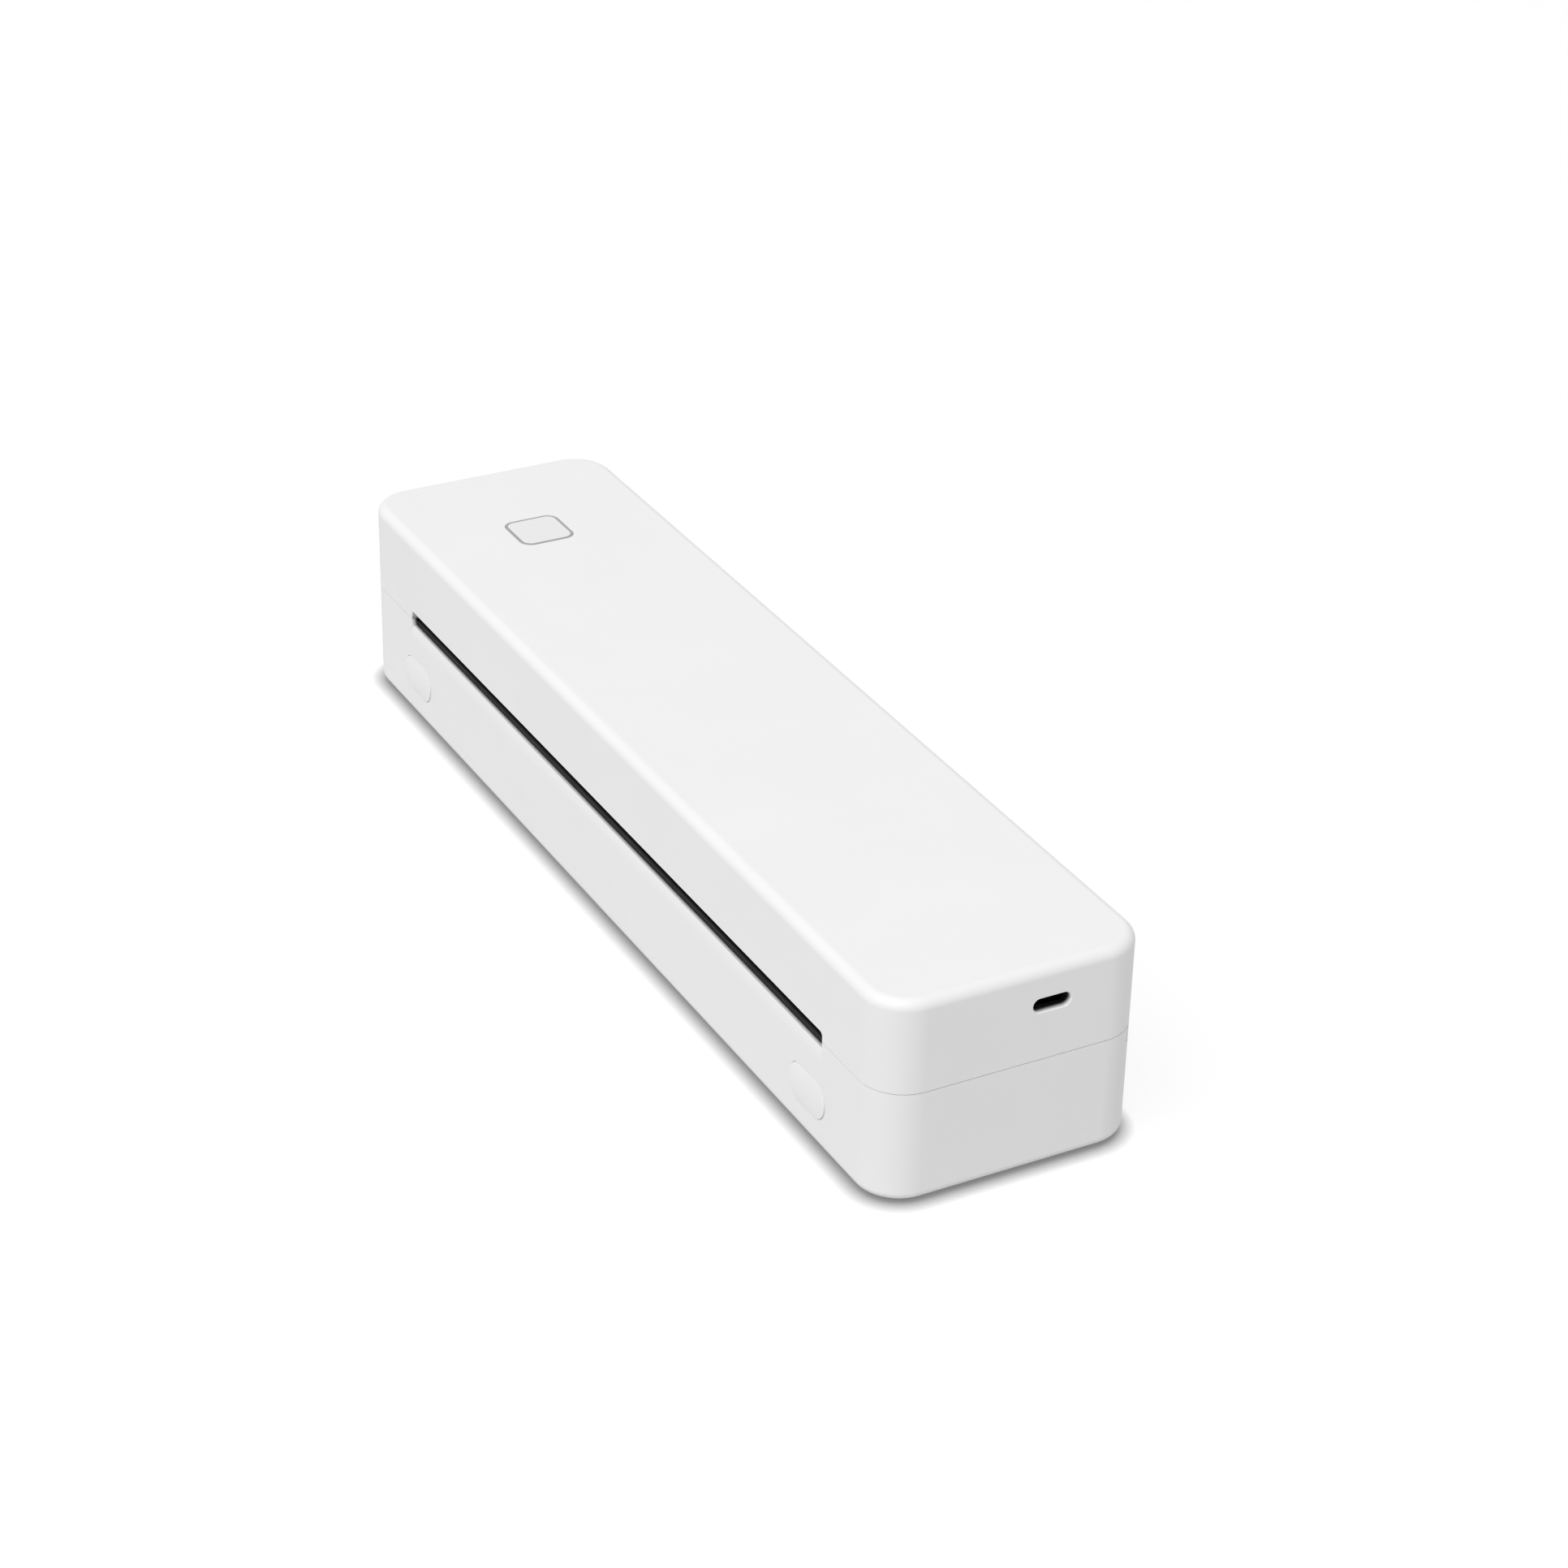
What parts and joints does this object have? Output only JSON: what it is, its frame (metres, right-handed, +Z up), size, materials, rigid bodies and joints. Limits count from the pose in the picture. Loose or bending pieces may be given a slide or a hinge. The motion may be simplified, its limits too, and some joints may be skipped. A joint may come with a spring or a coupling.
{
  "type": "portable thermal printer",
  "caption": "Long white rounded-box thermal printer for A4 sheets, with a rear-hinged cover, a front paper slot, rounded release buttons, a top power button and a charging port.",
  "frame": {"origin": "on the desk, under the middle of the case", "axes": "+X along the case to the end with the charging port, -Y out of the front face where the paper comes out, +Z up"},
  "size_m": [0.266, 0.0633, 0.0491],
  "materials": {
    "white_case": "fine satin moulding",
    "black_moulding": "black fine-grain moulding",
    "platen_rubber": "ground black rubber",
    "foot_rubber": "soft grey rubber",
    "steel": "bright steel",
    "zinc": "zinc plated steel",
    "black_nickel": "black nickel plating",
    "blackened_screw": "black oxide",
    "aluminium": "sawn and milled",
    "ceramic": "glazed ceramic",
    "epoxy": "black resin",
    "acetal": "natural acetal",
    "gear_white": "natural acetal",
    "brass": "turned brass",
    "motor_can": "plated steel can",
    "board_green": "solder resist",
    "chip_black": "moulded package",
    "socket_white": "nylon",
    "can_aluminium": "drawn can",
    "battery_wrap": "shrink film",
    "foam": "foam tape",
    "wire_red": "PVC sleeve",
    "wire_grey": "PVC sleeve",
    "ribbon_white": "polyester film"
  },
  "bodies": {
    "base": {"lower_case": "white_case", "rubber_feet": "foot_rubber", "hinge_pins": "steel", "paper_bed": "black_moulding", "bed_screws": "blackened_screw", "platen_bush_left": "acetal", "platen_bush_right": "acetal", "release_spring_left": "steel", "release_spring_right": "steel"},
    "cover": {"upper_case": "white_case", "inner_frame": "black_moulding", "frame_screws": "blackened_screw", "tear_strip": "white_case", "head_pins": "steel", "spring_bar": "zinc", "bar_screws": "zinc", "head_springs": "steel", "drive_plate": "zinc", "drive_screws": "zinc", "gear_axles": "steel", "motor": "motor_can", "motor_socket": "socket_white", "button_board": "board_green", "button_board_screws": "zinc", "power_switch": "chip_black", "button_socket": "socket_white", "main_board": "board_green", "board_screws": "zinc", "usb_shell": "black_nickel", "usb_tongue": "chip_black", "board_sockets": "socket_white", "board_chips": "chip_black", "radio_can": "can_aluminium", "capacitors": "can_aluminium", "battery_pack": "battery_wrap", "battery_pad": "foam", "paper_sensor": "chip_black", "battery_cable": "wire_red", "button_cable": "wire_grey", "motor_cable": "wire_grey", "head_ribbon": "ribbon_white"},
    "print_head": {"head_sink": "aluminium", "head_ceramic": "ceramic", "driver_cover": "epoxy", "head_connector": "socket_white"},
    "platen": {"platen_shaft": "steel", "platen_rubber": "platen_rubber", "platen_gear": "gear_white"},
    "idler": {"idler_gear": "gear_white"},
    "compound": {"compound_gear": "gear_white"},
    "rotor": {"motor_pinion": "brass", "motor_shaft": "steel"},
    "power_key": {"power_button": "white_case", "switch_plunger": "chip_black"},
    "release_left": {"release_button_left": "white_case"},
    "release_right": {"release_button_right": "white_case"}
  },
  "joints": [
    {"name": "cover_hinge", "type": "hinge", "parent": "base", "child": "cover", "pos_m": [0, 0.0286, 0.027], "axis": [-1, 0, 0], "range_deg": [0, 80]},
    {"name": "head_pivot", "type": "hinge", "parent": "cover", "child": "print_head", "pos_m": [0, -0.0045, 0.0329], "axis": [-1, 0, 0], "range_deg": [0, 1.5], "stiffness_Nm_per_rad": 0.66, "springref_deg": -5.73, "deforming": ["head_springs", "head_ribbon"]},
    {"name": "release_left_slide", "type": "slide", "parent": "base", "child": "release_left", "axis": [0, 1, 0], "range_m": [0, 0.0015], "stiffness_N_per_m": 800, "springref_m": -0.002, "deforming": ["release_spring_left"]},
    {"name": "release_right_slide", "type": "slide", "parent": "base", "child": "release_right", "axis": [0, 1, 0], "range_m": [0, 0.0015], "stiffness_N_per_m": 800, "springref_m": -0.002, "deforming": ["release_spring_right"]},
    {"name": "power_press", "type": "slide", "parent": "cover", "child": "power_key", "axis": [0, 0, -1], "range_m": [0, 0.0005], "stiffness_N_per_m": 1500, "springref_m": -0.0003},
    {"name": "platen_spin", "type": "hinge", "parent": "base", "child": "platen", "pos_m": [0, -0.013, 0.022], "axis": [1, 0, 0], "continuous": true},
    {"name": "idler_spin", "type": "hinge", "parent": "cover", "child": "idler", "pos_m": [-0.115, -0.008, 0.03454], "axis": [1, 0, 0], "continuous": true},
    {"name": "compound_spin", "type": "hinge", "parent": "cover", "child": "compound", "pos_m": [-0.115, 0.00099, 0.0376], "axis": [1, 0, 0], "continuous": true},
    {"name": "rotor_spin", "type": "hinge", "parent": "cover", "child": "rotor", "pos_m": [-0.115, 0.01242, 0.0389], "axis": [1, 0, 0], "continuous": true}
  ],
  "couplings": [
    {"joint": "idler_spin", "follows": "platen_spin", "ratio": -1.25},
    {"joint": "compound_spin", "follows": "platen_spin", "ratio": 2.1429},
    {"joint": "rotor_spin", "follows": "platen_spin", "ratio": -6.0714}
  ]
}
